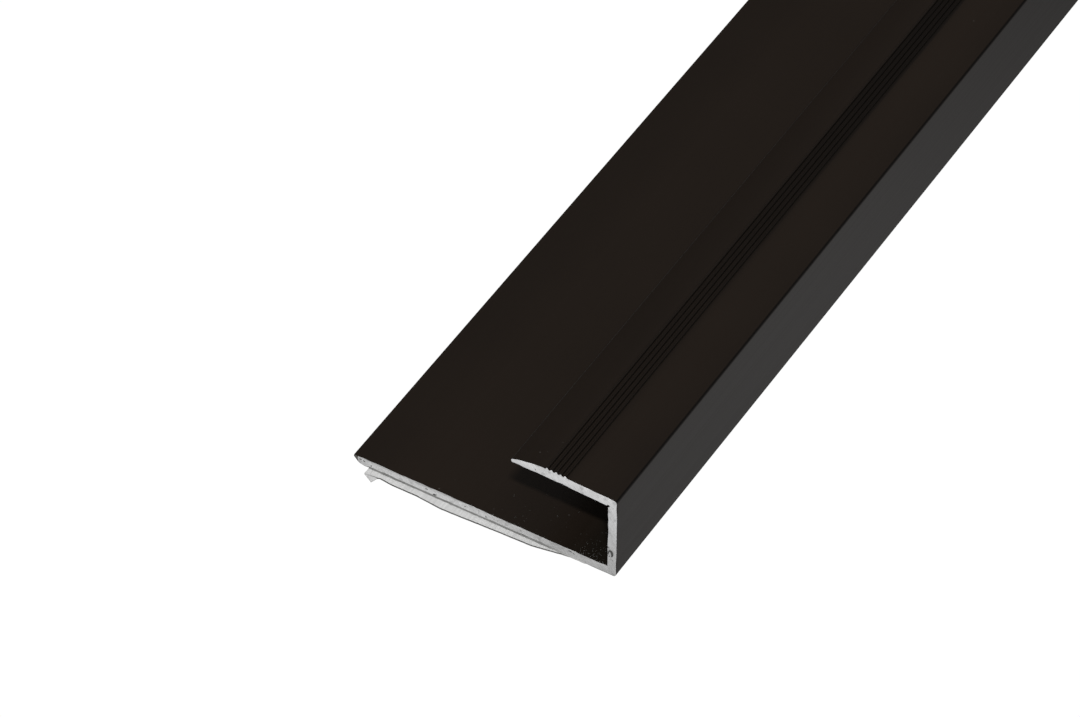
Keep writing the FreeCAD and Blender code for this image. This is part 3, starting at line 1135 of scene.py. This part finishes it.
@dataclass
class ThinSheet:
    """A thin flat sheet along the bar, with an uneven near edge."""

    low_corner: Vector
    high_corner: Vector
    column_width: float = 0.11 * MM
    end_steps: tuple[float, ...] = (0.05 * MM, 0.12 * MM, 0.25 * MM, 0.45 * MM, 0.8 * MM, 1.3 * MM, 2.0 * MM)
    settle: float = 8.0 * MM
    middle_rows: int = 14

    def columns(self) -> np.ndarray:
        """Where the sheet is divided across the bar."""
        left, right = self.low_corner.x, self.high_corner.x
        return np.linspace(left, right, math.ceil((right - left) / self.column_width) + 1)

    def rows(self, near_edge: np.ndarray, far_edge: np.ndarray) -> np.ndarray:
        """Where each column is divided along the bar.

        Args:
            near_edge: each column's near end.
            far_edge: each column's far end.

        Returns:
            One row of Y values for each division.
        """
        start, stop = self.low_corner.y + self.settle, self.high_corner.y - self.settle
        shares = [0.0, *(step / self.settle for step in self.end_steps)]
        rows = [near_edge + (start - near_edge) * share for share in shares]
        rows += [np.full(len(near_edge), y) for y in np.linspace(start, stop, self.middle_rows)]
        rows += [far_edge + (stop - far_edge) * share for share in reversed(shares)]
        return np.array(rows)

    def mesh(
        self, near_edge: np.ndarray, far_edge: np.ndarray, lift: np.ndarray | float = 0.0
    ) -> tuple[Shell, list[int]]:
        """The sheet's closed mesh, faces of kind 0 on top and below and kind 1 round its edge.

        Args:
            near_edge: each column's near end.
            far_edge: each column's far end.
            lift: how far each point is raised.

        Returns:
            The points and faces, and each face's kind.
        """
        along = self.rows(near_edge, far_edge)
        rows, columns = along.shape
        across = np.broadcast_to(self.columns(), along.shape)
        raised = np.zeros_like(along) + lift
        top = np.stack([across, along, self.high_corner.z + raised], axis=-1).reshape(-1, 3)
        under = np.stack([across, along, self.low_corner.z + raised], axis=-1).reshape(-1, 3)
        total = rows * columns
        faces: list[Face] = []
        for row in range(rows - 1):
            for first in range(row * columns, row * columns + columns - 1):
                quad = (first, first + 1, first + 1 + columns, first + columns)
                faces.append(quad)
                faces.append(tuple(total + index for index in reversed(quad)))
        kinds = [0] * len(faces)
        loop = list(range(columns))
        loop += [row * columns + columns - 1 for row in range(1, rows)]
        loop += [(rows - 1) * columns + column for column in reversed(range(columns - 1))]
        loop += [row * columns for row in reversed(range(1, rows - 1))]
        for here, there in zip(loop, loop[1:] + loop[:1]):
            faces.append((there, here, total + here, total + there))
        kinds += [1] * len(loop)
        return (np.concatenate([top, under]), faces), kinds


@dataclass
class TapeStrip:
    """The adhesive tape that fills the recess under the flange."""

    sheet: ThinSheet
    end_wear: float = 0.06 * MM
    ragged: tuple[tuple[float, int, int], ...] = ((0.6, 60, 5), (0.4, 130, 6))

    def build(self, body: Material) -> Object:
        """Build the tape.

        Args:
            body: the tape's finish.

        Returns:
            The tape's object.
        """
        count = len(self.sheet.columns())
        ragged = 0.5 + 0.5 * layered(count, self.ragged)
        near_edge = self.sheet.low_corner.y + self.end_wear * ragged
        far_edge = self.sheet.high_corner.y - self.end_wear * ragged[::-1]
        shell, kinds = self.sheet.mesh(near_edge, far_edge)
        piece = finish_piece("tape_strip", shell, [body], [0] * len(kinds))
        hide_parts(Node.TAPE.value)
        return piece


@dataclass
class ReleaseLiner:
    """The pale liner under the tape, torn unevenly past the sawn end and folded at its tab."""

    sheet: ThinSheet
    bar_end: float
    tab_reach: float = 1.5 * MM
    tab_width: float = 1.45 * MM
    tab_firmness: float = 4.0
    fray: float = 0.02 * MM
    fold: float = 0.12 * MM
    fold_run: float = 0.75 * MM
    fold_reach: float = 0.62 * MM
    curl: float = 0.06 * MM
    curl_power: float = 1.5
    ragged: tuple[tuple[float, int, int], ...] = ((0.5, 45, 71), (0.3, 110, 72), (0.2, 200, 73))
    torn_edge: tuple[Point2, ...] = (
        (0.0, 0.5),
        (0.05, 1.0),
        (0.056, 0.46),
        (0.066, 0.36),
        (0.13, 0.46),
        (0.24, 0.45),
        (0.36, 0.62),
        (0.5, 0.53),
        (0.63, 0.43),
        (0.77, 0.36),
        (0.83, 0.19),
        (0.89, 0.0),
        (1.0, -0.28),
    )

    def fold_y(self) -> float:
        """Where the tab is folded."""
        return self.bar_end - self.fold_reach

    def near_edge(self) -> np.ndarray:
        """The torn near edge: shares of tab_reach past the bar's end, by share of the breadth.

        Returns:
            Each column's near end.
        """
        across = self.sheet.columns()
        left, right = self.sheet.low_corner.x, self.sheet.high_corner.x
        reach = np.interp((across - left) / (right - left), *np.array(self.torn_edge).T) * self.tab_reach
        frayed = self.fray * layered(len(across), self.ragged)
        return np.maximum(self.bar_end - reach + frayed, self.sheet.low_corner.y)

    def lift(self, along: np.ndarray) -> np.ndarray:
        """How far each point is raised by the fold of the tab and the curl of what sticks out.

        Args:
            along: each point's Y.

        Returns:
            Each point's rise.
        """
        columns = self.sheet.columns()
        outside = np.clip((self.bar_end - along) / self.tab_reach, 0.0, 1.0)
        waves = 0.5 + 0.5 * wander(len(columns), 9, 74)
        inside = (columns - self.sheet.low_corner.x) / self.tab_width
        tab = np.clip(self.tab_firmness * (1.0 - inside), 0.0, 1.0)
        beyond = np.clip((self.fold_y() - along) / self.fold_run, 0.0, 1.0)
        return self.curl * outside**self.curl_power * waves + self.fold * beyond * tab

    def build(self, paper: Material, edge: Material) -> Object:
        """Build the liner.

        Args:
            paper: the finish of its faces and of its tab's edge.
            edge: the finish of its torn edge, and the painted shadow on the first row of its top beyond the
                tab.

        Returns:
            The liner's object.
        """
        near_edge = self.near_edge()
        far_edge = np.full(len(near_edge), self.sheet.high_corner.y)
        lift = self.lift(self.sheet.rows(near_edge, far_edge))
        shell, kinds = self.sheet.mesh(near_edge, far_edge, lift)
        tab_columns = int(self.tab_width / self.sheet.column_width)
        edge_start = kinds.index(1)
        kinds[edge_start : edge_start + tab_columns] = [0] * tab_columns
        # Painted shadow: past the tab, the first row of the top beside the torn edge takes the dark edge
        # finish.
        darkening = range(2 * tab_columns, 2 * (len(near_edge) - 1))
        kinds[darkening.start : darkening.stop] = [1] * len(darkening)
        piece = finish_piece("release_liner_sheet", shell, [paper, edge], kinds)
        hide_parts(Node.LINER.value)
        return piece


# ---- what the saw left behind


@dataclass(frozen=True)
class Spread:
    """How far crumbs lie from the sawn corner, and how strongly they gather towards it."""

    along: float
    along_power: float
    across: float
    across_power: float


@dataclass
class SawDust:
    """Crumbs of aluminium that the saw left near the cut end."""

    floor_z: float
    near: float
    corner_x: float
    count: int = 170
    shaded_corner: int = 90
    sides: int = 6
    size: Span = (0.015 * MM, 0.06 * MM)
    slimness: Span = (0.35, 0.7)
    knee: float = 0.45
    bend: float = 0.2
    roundness: float = 0.6
    sink: float = 0.92
    clear: float = 0.12 * MM
    sharp_angle: float = math.radians(20.0)
    in_corner: Spread = Spread(1.8 * MM, 1.3, 3.4 * MM, 1.0)
    on_floor: Spread = Spread(7.0 * MM, 3.2, 13.0 * MM, 1.2)
    seed: int = 8

    def crumb(self, rng: np.random.Generator) -> Shell:
        """One crumb: a small bent splinter with an uneven six-sided middle.

        Args:
            rng: the random source.

        Returns:
            Its points round its own middle, and its faces.
        """
        length = rng.uniform(*self.size)
        width = length * rng.uniform(*self.slimness)
        points = [np.array([0.0, 0.0, length])]
        for height in (self.knee, -self.knee):
            shift = rng.uniform(-self.bend, self.bend) * length
            for angle in np.arange(self.sides) * math.pi / (self.sides / 2):
                radius = width * rng.uniform(self.roundness, 1.0)
                x = radius * math.cos(angle) + shift
                points.append(np.array([x, radius * math.sin(angle), height * length]))
        points.append(np.array([0.0, 0.0, -length]))
        upper, lower, foot = 1, 1 + self.sides, 1 + 2 * self.sides
        faces: list[Face] = []
        for one, two in neighbours(self.sides):
            faces.append((0, upper + one, upper + two))
            faces.append((upper + one, lower + one, lower + two, upper + two))
            faces.append((foot, lower + two, lower + one))
        turn = Euler(tuple(rng.uniform(0.0, math.tau, 3))).to_matrix()
        return np.array(points) @ np.array(turn).T, faces

    def build(self, metal: Material) -> Object:
        """Scatter the crumbs and join them to one piece.

        Args:
            metal: their finish.

        Returns:
            The crumbs' object.
        """
        rng = np.random.default_rng(self.seed)
        crumbs: list[Shell] = []
        for number in range(self.count):
            points, faces = self.crumb(rng)
            spread = self.in_corner if number < self.shaded_corner else self.on_floor
            y = self.near + self.clear + spread.along * rng.uniform(0.0, 1.0) ** spread.along_power
            x = self.corner_x - self.clear - spread.across * rng.uniform(0.0, 1.0) ** spread.across_power
            z = self.floor_z - points[:, 2].min() * self.sink
            crumbs.append((points + np.array([x, y, z]), faces))
        shell = joined(crumbs)
        return finish_piece("saw_dust", shell, [metal], [0] * len(shell[1]), self.sharp_angle)


@dataclass(frozen=True)
class Smudge:
    """One small mark on the sawn face, in mm: its middle, half sizes and tilt.

    Its middle is measured from the free edge, or from the web's face where x is negative.
    """

    x: float
    z: float
    wide: float
    tall: float
    tilt: float = 0.0


@dataclass
class SawMarks:
    """Dark smears and one curled shaving that the saw left on the cut face."""

    near: float
    left: float
    right: float
    low: float
    relief: float = 0.012 * MM
    points_round: int = 14
    raggedness: float = 0.55
    dome_share: float = 0.6
    growth: float = 1.6
    seed: int = 21
    curl_middle: Point2 = (0.64 * MM, 2.96 * MM)
    curl_size: Point2 = (0.22 * MM, 0.42 * MM)
    curl_radius: float = 0.11 * MM
    curl_swing: Span = (200.0, -62.0)
    curl_steps: int = 30
    curl_sides: int = 8
    curl_thin: float = 0.3
    curl_lean: float = 1.4
    curl_fullness: float = 0.8
    curl_proud: float = 0.4
    smudges: tuple[Smudge, ...] = (
        Smudge(0.80, 0.72, 0.15, 0.07, 0.2),
        Smudge(1.22, 0.66, 0.13, 0.08, -0.3),
        Smudge(2.05, 0.42, 0.08, 0.10),
        Smudge(8.45, 0.62, 0.16, 0.07, -0.2),
        Smudge(9.40, 0.33, 0.22, 0.12, 0.5),
        Smudge(12.9, 0.55, 0.10, 0.05, 0.4),
        Smudge(15.3, 0.40, 0.12, 0.05, -0.5),
        Smudge(19.2, 0.66, 0.09, 0.04, 0.2),
        Smudge(-5.15, 0.80, 0.20, 0.07, -0.3),
        Smudge(-4.75, 0.66, 0.12, 0.05, -0.4),
        Smudge(-9.1, 10.15, 0.05, 0.11, 0.4),
        Smudge(-0.90, 3.72, 0.05, 0.12, 0.4),
        Smudge(-0.77, 2.55, 0.06, 0.09, -0.3),
        Smudge(-0.38, 2.12, 0.03, 0.09, 0.3),
    )

    def smear(self, smudge: Smudge, rng: np.random.Generator) -> Shell:
        """One thin domed smear with an uneven outline.

        Args:
            smudge: its place and size.
            rng: the random source.

        Returns:
            Its points and faces.
        """
        count = self.points_round
        angles = np.arange(count) * math.tau / count
        reach = rng.uniform(self.raggedness, 1.0, count)
        flat_x = self.growth * (smudge.wide * MM) * reach * np.cos(angles)
        flat_z = self.growth * (smudge.tall * MM) * reach * np.sin(angles)
        cosine, sine = math.cos(smudge.tilt), math.sin(smudge.tilt)
        middle_x = (self.left if smudge.x > 0.0 else self.right) + smudge.x * MM
        middle_z = self.low + smudge.z * MM
        x = middle_x + flat_x * cosine - flat_z * sine
        z = middle_z + flat_x * sine + flat_z * cosine
        rim = np.column_stack([x, np.full(count, self.near + self.relief), z])
        x = middle_x + (x - middle_x) * self.dome_share
        z = middle_z + (z - middle_z) * self.dome_share
        dome = np.column_stack([x, np.full(count, self.near - self.relief), z])
        faces: list[Face] = [(one, two, count + two, count + one) for one, two in neighbours(count)]
        faces.append(tuple(count + index for index in range(count)))
        faces.append(tuple(reversed(range(count))))
        return np.concatenate([rim, dome]), faces

    def shaving(self) -> Shell:
        """The curled shaving on the web: a tapered, nearly closed hook.

        Returns:
            Its points and faces.
        """
        middle = np.array([self.right - self.curl_middle[0], self.low + self.curl_middle[1]])
        start, end = self.curl_swing
        points = []
        for step, angle in enumerate(np.linspace(math.radians(start), math.radians(end), self.curl_steps)):
            share = step / (self.curl_steps - 1)
            swell = math.sin(math.pi * share**self.curl_lean) ** self.curl_fullness
            radius = self.curl_radius * (self.curl_thin + (1.0 - self.curl_thin) * swell)
            spoke = np.array([math.cos(angle), math.sin(angle)])
            centre = middle + spoke * np.array(self.curl_size)
            for turn in np.arange(self.curl_sides) * math.tau / self.curl_sides:
                x, z = centre + spoke * radius * math.cos(turn)
                points.append((x, self.near - self.curl_proud * radius + radius * math.sin(turn), z))
        faces: list[Face] = []
        for first in range(0, (self.curl_steps - 1) * self.curl_sides, self.curl_sides):
            second = first + self.curl_sides
            for one, two in neighbours(self.curl_sides):
                faces.append((first + one, first + two, second + two, second + one))
        faces.append(tuple(reversed(range(self.curl_sides))))
        faces.append(tuple(range(len(points) - self.curl_sides, len(points))))
        return np.array(points), faces

    def build(self, grime_and_shade: Material) -> Object:
        """Build all the marks as one piece.

        Args:
            grime_and_shade: their finish.

        Returns:
            The marks' object.
        """
        rng = np.random.default_rng(self.seed)
        shell = joined([*(self.smear(smudge, rng) for smudge in self.smudges), self.shaving()])
        return finish_piece("saw_marks", shell, [grime_and_shade], [0] * len(shell[1]))


# ---- the studio


def stage_strength(wiring: Wiring, seen: float, in_gloss: Socket, as_light: float) -> Socket:
    """A brightness that depends on what kind of ray asks.

    Args:
        wiring: the tree.
        seen: brightness for the camera.
        in_gloss: brightness in reflections.
        as_light: brightness as a source of light.

    Returns:
        The brightness.
    """
    path = wiring.add("ShaderNodeLightPath")
    for_camera = wiring.times(path.outputs["Is Camera Ray"], seen)
    for_gloss = wiring.times(path.outputs["Is Glossy Ray"], in_gloss)
    for_light = wiring.times(path.outputs["Is Diffuse Ray"], as_light)
    return wiring.math("ADD", wiring.math("ADD", for_camera, for_gloss), for_light)


@dataclass(frozen=True)
class StageGround:
    """A plain pale floor: white to look at, and a quiet grey in the bar's own gloss."""

    seen: float = 1.02
    in_gloss: float = 0.285
    as_light: float = 0.45
    dimming: float = 0.45
    dimming_y: Span = (-0.415, -0.32)
    half_size: float = 12.0
    drop: float = 0.02 * MM

    def build(self) -> Object:
        """Build the floor.

        Returns:
            The floor's object.
        """
        made = bpy.data.materials.new("studio_white")
        made.use_nodes = True
        wiring = Wiring(made.node_tree)
        glow = wiring.add("ShaderNodeEmission")
        output = wiring.add("ShaderNodeOutputMaterial")
        wiring.link(glow.outputs["Emission"], output.inputs["Surface"])
        far = wiring.ramp(wiring.axes(wiring.place())["Y"], *self.dimming_y)
        in_gloss = wiring.line(far, -self.dimming * self.in_gloss, self.in_gloss)
        wiring.link(stage_strength(wiring, self.seen, in_gloss, self.as_light), glow.inputs["Strength"])
        mesh = bpy.data.meshes.new("studio_floor")
        half = self.half_size
        corners = [(-half, -half), (half, -half), (half, half), (-half, half)]
        mesh.from_pydata([(x, y, -self.drop) for x, y in corners], [], [(0, 1, 2, 3)])
        mesh.materials.append(made)
        floor = placed("studio_floor", mesh)
        return floor


@dataclass(frozen=True)
class StripLight:
    """A softbox that lies across the bar and faces its sawn end."""

    name: str
    direction: Rgb
    away: float
    width: float
    height: float
    power: float

    def build(self, target: Vector) -> Object:
        """Hang the light.

        Args:
            target: the point it faces.

        Returns:
            The light's object.
        """
        data = bpy.data.lights.new(self.name, "AREA")
        data.shape = "RECTANGLE"
        data.size = self.width
        data.size_y = self.height
        data.energy = self.power
        light = placed(self.name, data)
        towards = Vector(self.direction).normalized()
        light.location = target + towards * self.away
        light.rotation_euler = (math.atan2(-towards.y, towards.z), 0.0, 0.0)
        return light


@dataclass(frozen=True)
class FarLight:
    """One even light from far away, as wide as the angle in degrees that it fills."""

    name: str
    direction: Rgb
    width: float
    strength: float

    def build(self) -> Object:
        """Hang the light.

        Returns:
            The light's object.
        """
        data = bpy.data.lights.new(self.name, "SUN")
        data.angle = math.radians(self.width)
        data.energy = self.strength
        light = placed(self.name, data)
        light.location = self.direction
        light.rotation_euler = (-Vector(self.direction)).to_track_quat("-Z", "Y").to_euler()
        return light


@dataclass(frozen=True)
class Studio:
    """The camera, the lights and the surroundings."""

    azimuth: float = math.radians(31.092)
    elevation: float = math.radians(45.252)
    distance: float = 548.4376 * MM
    lens: float = 182.52
    sensor: float = 36.0
    clip: Span = (0.01, 100.0)
    aim: Rgb = (-6.1247 * MM, 20.832 * MM, 1.0 * MM)
    seen: float = 1.02
    low_gloss: float = 0.024
    high_gloss: float = 0.074
    front_gloss: float = 0.30
    side_gloss: float = 0.50
    as_light: float = 0.35
    overhead: Span = (0.28, 0.66)
    front: Span = (0.45, 0.95)
    side: Span = (0.80, 0.97)
    key: StripLight = StripLight(
        "key_strip", (0.303, -0.477, 0.825), away=3.0, width=0.30, height=0.12, power=62.0
    )
    fill: FarLight = FarLight("front_fill", (-0.15, -0.95, 0.28), width=60.0, strength=0.6)

    def place_camera(self, near_end: Vector) -> Object:
        """Place the camera.

        Args:
            near_end: the underside's middle at the sawn end.

        Returns:
            The camera.
        """
        data = bpy.data.cameras.new("studio_camera")
        data.lens = self.lens
        data.sensor_width = self.sensor
        data.clip_start, data.clip_end = self.clip
        level = math.cos(self.elevation)
        back = Vector(
            (math.sin(self.azimuth) * level, -math.cos(self.azimuth) * level, math.sin(self.elevation))
        )
        camera = placed("studio_camera", data)
        camera.location = near_end + Vector(self.aim) + back * self.distance
        camera.rotation_euler = (-back).to_track_quat("-Z", "Y").to_euler()
        bpy.context.scene.camera = camera
        return camera

    def surround(self) -> None:
        """Light the surroundings: white to look at, dim in gloss, gentle as a source."""
        world = bpy.data.worlds.new("studio_surroundings")
        world.use_nodes = True
        bpy.context.scene.world = world
        wiring = Wiring(world.node_tree)
        back = wiring.add("ShaderNodeBackground")
        output = wiring.add("ShaderNodeOutputWorld")
        wiring.link(back.outputs["Background"], output.inputs["Surface"])
        towards = wiring.axes(wiring.add("ShaderNodeTexCoord").outputs["Generated"])
        overhead = wiring.ramp(towards["Z"], *self.overhead)
        front = wiring.ramp(wiring.times(towards["Y"], -1.0), *self.front)
        beside = wiring.ramp(wiring.math("ABSOLUTE", towards["X"]), *self.side)
        gloss = wiring.line(overhead, self.high_gloss, self.low_gloss)
        gloss = wiring.line(front, self.front_gloss, gloss)
        gloss = wiring.line(beside, self.side_gloss, gloss)
        back.inputs["Color"].default_value = (1.0, 1.0, 1.0, 1.0)
        wiring.link(stage_strength(wiring, self.seen, gloss, self.as_light), back.inputs["Strength"])

    def build(self, near_end: Vector) -> None:
        """Set up the studio.

        Args:
            near_end: the underside's middle at the sawn end.
        """
        bpy.context.scene.view_settings.view_transform = "Standard"
        self.surround()
        self.key.build(near_end)
        self.fill.build()
        self.place_camera(near_end)


# ---- the whole object


def log_piece(piece: Object) -> None:
    """Log a piece that has been built."""
    LOG.info("%s: %d faces", piece.name, len(piece.data.polygons))


def main() -> None:
    """Build the trim and its studio, in order."""
    logging.basicConfig(level=logging.INFO, format="%(name)s: %(message)s")
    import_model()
    build_noise_group(Group.STREAKS, detail=3.0, roughness=0.62)
    build_noise_group(Group.CLOUDS, detail=2.0, roughness=0.5)
    build_specks_group()
    build_end_band_group()
    profile_low, profile_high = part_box(Node.PROFILE.value)
    liner_low, liner_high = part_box(Node.LINER.value)

    section = TrimSection(profile_low.x, profile_high.x, profile_low.z)
    profile = TrimProfile(section, profile_low.y, profile_high.y, profile_high.z)
    anodising = BronzeAnodising("bronze_anodising", profile_high.y).material()
    log_piece(profile.build(anodising, SawnAluminium("sawn_aluminium").material()))

    tape = TapeStrip(ThinSheet(*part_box(Node.TAPE.value)))
    log_piece(tape.build(TapeAdhesive("tape_adhesive").material()))

    liner = ReleaseLiner(ThinSheet(liner_low, liner_high), profile_low.y)
    paper = LinerPaper("liner_paper", liner.fold_y(), liner_low.x + liner.tab_width).material()
    log_piece(liner.build(paper, LinerEdge("liner_torn_edge").material()))

    floor_z = profile_low.z + section.flange_wall
    dust = SawDust(floor_z, profile_low.y, profile_high.x - section.web_wall)
    metal = Swarf("saw_dust_metal", dark=(0.05, 0.05, 0.045), pale=(0.17, 0.17, 0.165)).material()
    log_piece(dust.build(metal))
    marks = SawMarks(profile_low.y, profile_low.x, profile_high.x, profile_low.z)
    grime_and_shade = Swarf("saw_grime", dark=(0.022, 0.022, 0.02), pale=(0.12, 0.12, 0.115)).material()
    log_piece(marks.build(grime_and_shade))

    log_piece(StageGround().build())
    near_end = Vector(((profile_low.x + profile_high.x) / 2, profile_low.y, profile_low.z))
    Studio().build(near_end)


if __name__ == "__main__":
    main()
